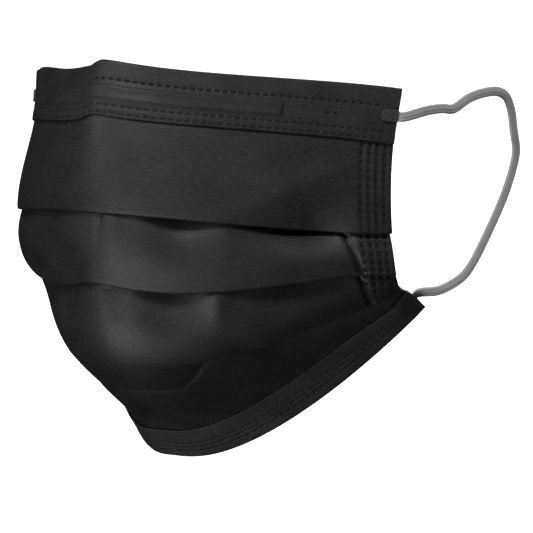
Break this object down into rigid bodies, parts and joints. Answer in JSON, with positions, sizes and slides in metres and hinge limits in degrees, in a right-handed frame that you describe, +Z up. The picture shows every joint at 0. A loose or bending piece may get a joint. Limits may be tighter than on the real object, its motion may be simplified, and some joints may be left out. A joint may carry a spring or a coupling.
{
  "type": "surgical mask",
  "caption": "Pleated cloth face mask in its worn, opened form, with folded hems, a nose wire and elastic ear loops.",
  "frame": {"origin": "the seat on the nose bridge: centre plane, inner side of the cloth, just under the top edge", "axes": "+X to the wearer's left, -Y out of the front of the mask, +Z up"},
  "size_m": [0.1429, 0.1132, 0.1171],
  "materials": {
    "pleated_cloth": "matte black spunbond nonwoven with fine crosswise fibres",
    "hem_cloth": "matte black spunbond nonwoven, welded in dashed rows",
    "wire": "plain flat strip, hidden in the hem",
    "elastic": "soft dark grey knitted elastic"
  },
  "bodies": {
    "root": {"pleated_body": "pleated_cloth", "top_hem": "hem_cloth", "bottom_hem": "hem_cloth", "nose_wire": "wire", "upper_weld_left": "elastic", "lower_weld_left": "elastic", "ear_loop_left": "elastic", "upper_weld_right": "elastic", "lower_weld_right": "elastic", "ear_loop_right": "elastic"}
  },
  "joints": []
}
